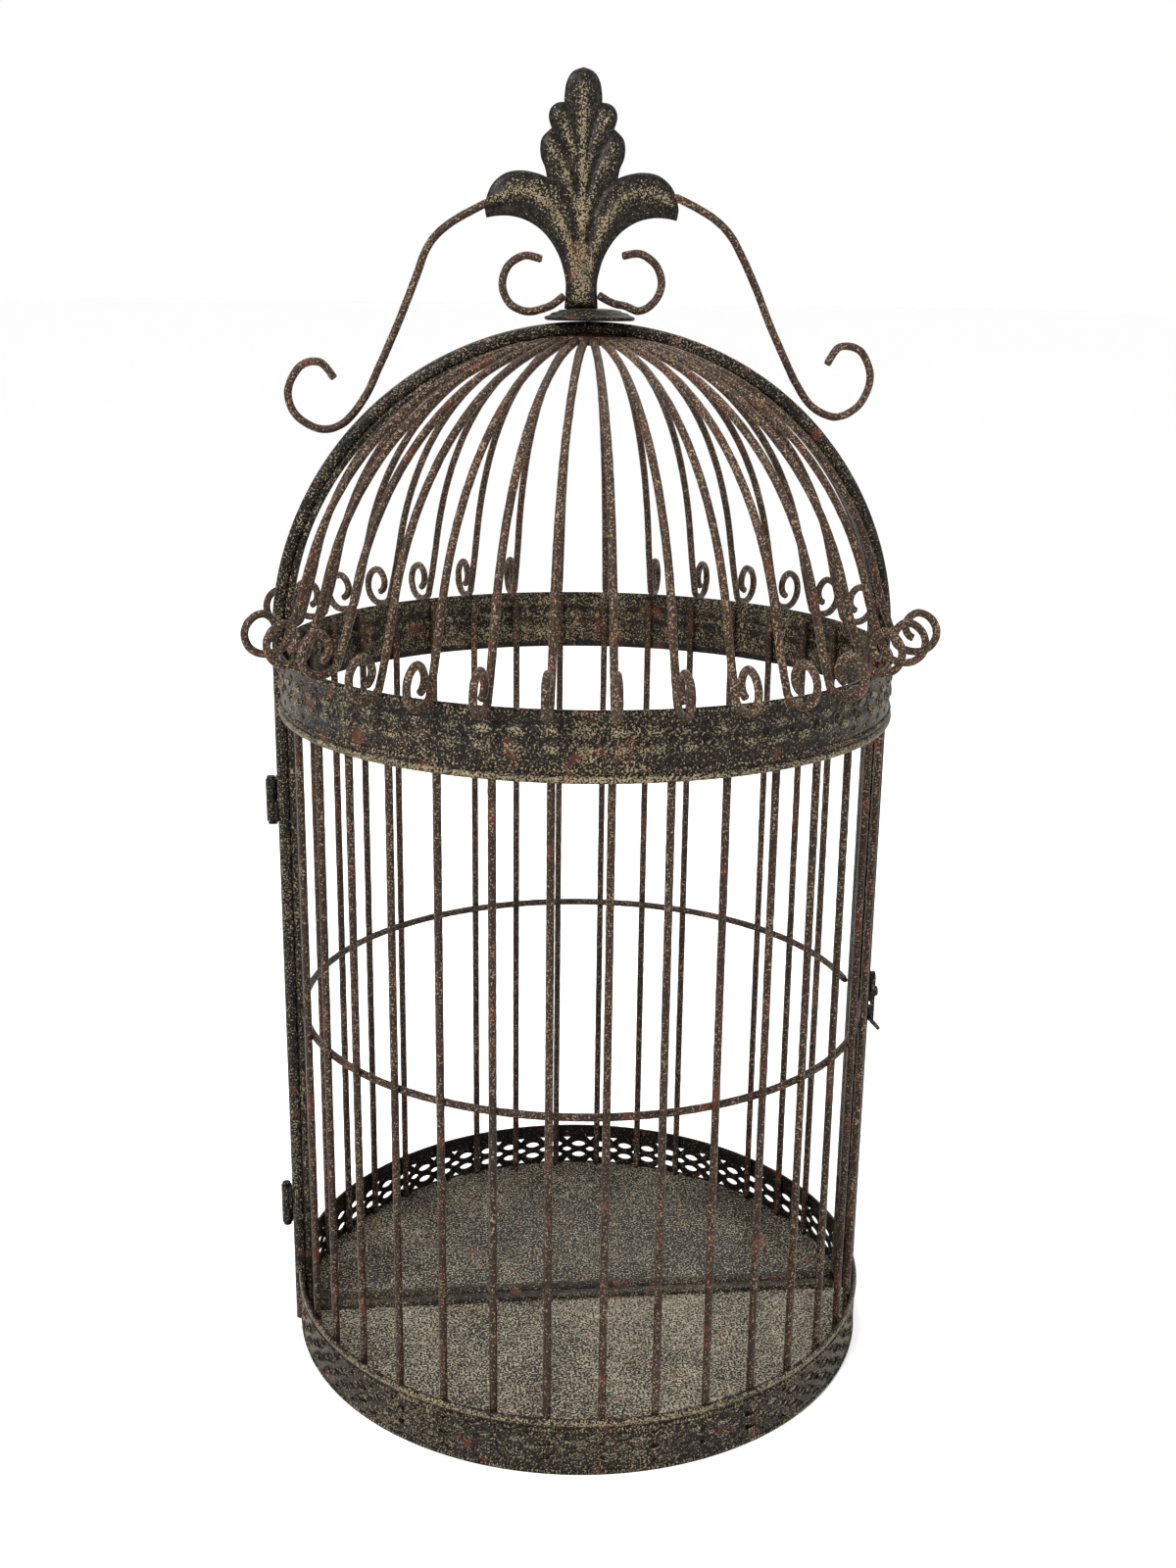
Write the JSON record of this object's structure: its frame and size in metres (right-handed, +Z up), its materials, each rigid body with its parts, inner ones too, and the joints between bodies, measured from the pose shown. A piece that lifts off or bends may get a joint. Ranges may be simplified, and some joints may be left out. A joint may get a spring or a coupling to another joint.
{
  "type": "bird cage",
  "caption": "Round domed bird cage of wire and embossed bands, split upright into two hinged halves, with a scrolled leaf finial and a swinging side latch.",
  "frame": {"origin": "centre of the round base, on the surface it stands on", "axes": "+Z up through the finial; +X towards the latch, -X towards the hinges; -Y towards the half that opens"},
  "size_m": [0.3483, 0.369, 0.6809],
  "materials": {
    "frame_iron": "dark brown-black paint sponged with fine cream and olive speckle",
    "embossed_band": "dark antique paint with cream speckle and rubbed high spots",
    "bar_wire": "dark antique paint with cream speckle and rust-red patches",
    "curl_wire": "dark purple-brown paint, lightly speckled",
    "floor_plate": "beige-grey and greenish speckle over dark paint",
    "finial_casting": "dark antique paint with cream rubbed onto the veins",
    "fittings_iron": "worn dark paint"
  },
  "bodies": {
    "rear_half": {"rear_frame": "frame_iron", "rear_floor": "floor_plate", "rear_base_band": "embossed_band", "rear_upper_band": "embossed_band", "rear_bar_grille": "bar_wire", "rear_rib_hub": "bar_wire", "rear_rib_01": "curl_wire", "rear_rib_02": "curl_wire", "rear_rib_03": "curl_wire", "rear_rib_04": "curl_wire", "rear_rib_05": "curl_wire", "rear_rib_06": "curl_wire", "rear_rib_07": "curl_wire", "rear_rib_08": "curl_wire", "rear_rib_09": "curl_wire", "rear_rib_10": "curl_wire", "rear_rib_11": "curl_wire", "rear_rib_12": "curl_wire", "rear_rib_13": "curl_wire", "rear_rib_14": "curl_wire", "rear_rib_15": "curl_wire", "crown_disc": "finial_casting", "finial_leaf": "finial_casting", "left_s_scroll": "curl_wire", "right_s_scroll": "curl_wire", "left_c_scroll": "curl_wire", "right_c_scroll": "curl_wire", "upper_hinge_fixed_leaf": "fittings_iron", "upper_hinge_pin": "fittings_iron", "lower_hinge_fixed_leaf": "fittings_iron", "lower_hinge_pin": "fittings_iron", "latch_keeper": "fittings_iron"},
    "front_half": {"front_frame": "frame_iron", "front_floor": "floor_plate", "front_base_band": "embossed_band", "front_upper_band": "embossed_band", "front_bar_grille": "bar_wire", "front_rib_hub": "bar_wire", "front_rib_01": "curl_wire", "front_rib_02": "curl_wire", "front_rib_03": "curl_wire", "front_rib_04": "curl_wire", "front_rib_05": "curl_wire", "front_rib_06": "curl_wire", "front_rib_07": "curl_wire", "front_rib_08": "curl_wire", "front_rib_09": "curl_wire", "front_rib_10": "curl_wire", "front_rib_11": "curl_wire", "front_rib_12": "curl_wire", "front_rib_13": "curl_wire", "front_rib_14": "curl_wire", "front_rib_15": "curl_wire", "upper_hinge_moving_leaf": "fittings_iron", "lower_hinge_moving_leaf": "fittings_iron", "latch_rivet": "fittings_iron"},
    "latch": {"latch_lever": "fittings_iron"}
  },
  "joints": [
    {"name": "door_swing", "type": "hinge", "parent": "rear_half", "child": "front_half", "pos_m": [-0.168, 0, 0], "axis": [0, 0, -1], "range_deg": [0, 150]},
    {"name": "latch_swivel", "type": "hinge", "parent": "front_half", "child": "latch", "pos_m": [0.1653, -0.0043, 0.193], "axis": [1, 0, 0], "range_deg": [0, 90]}
  ]
}
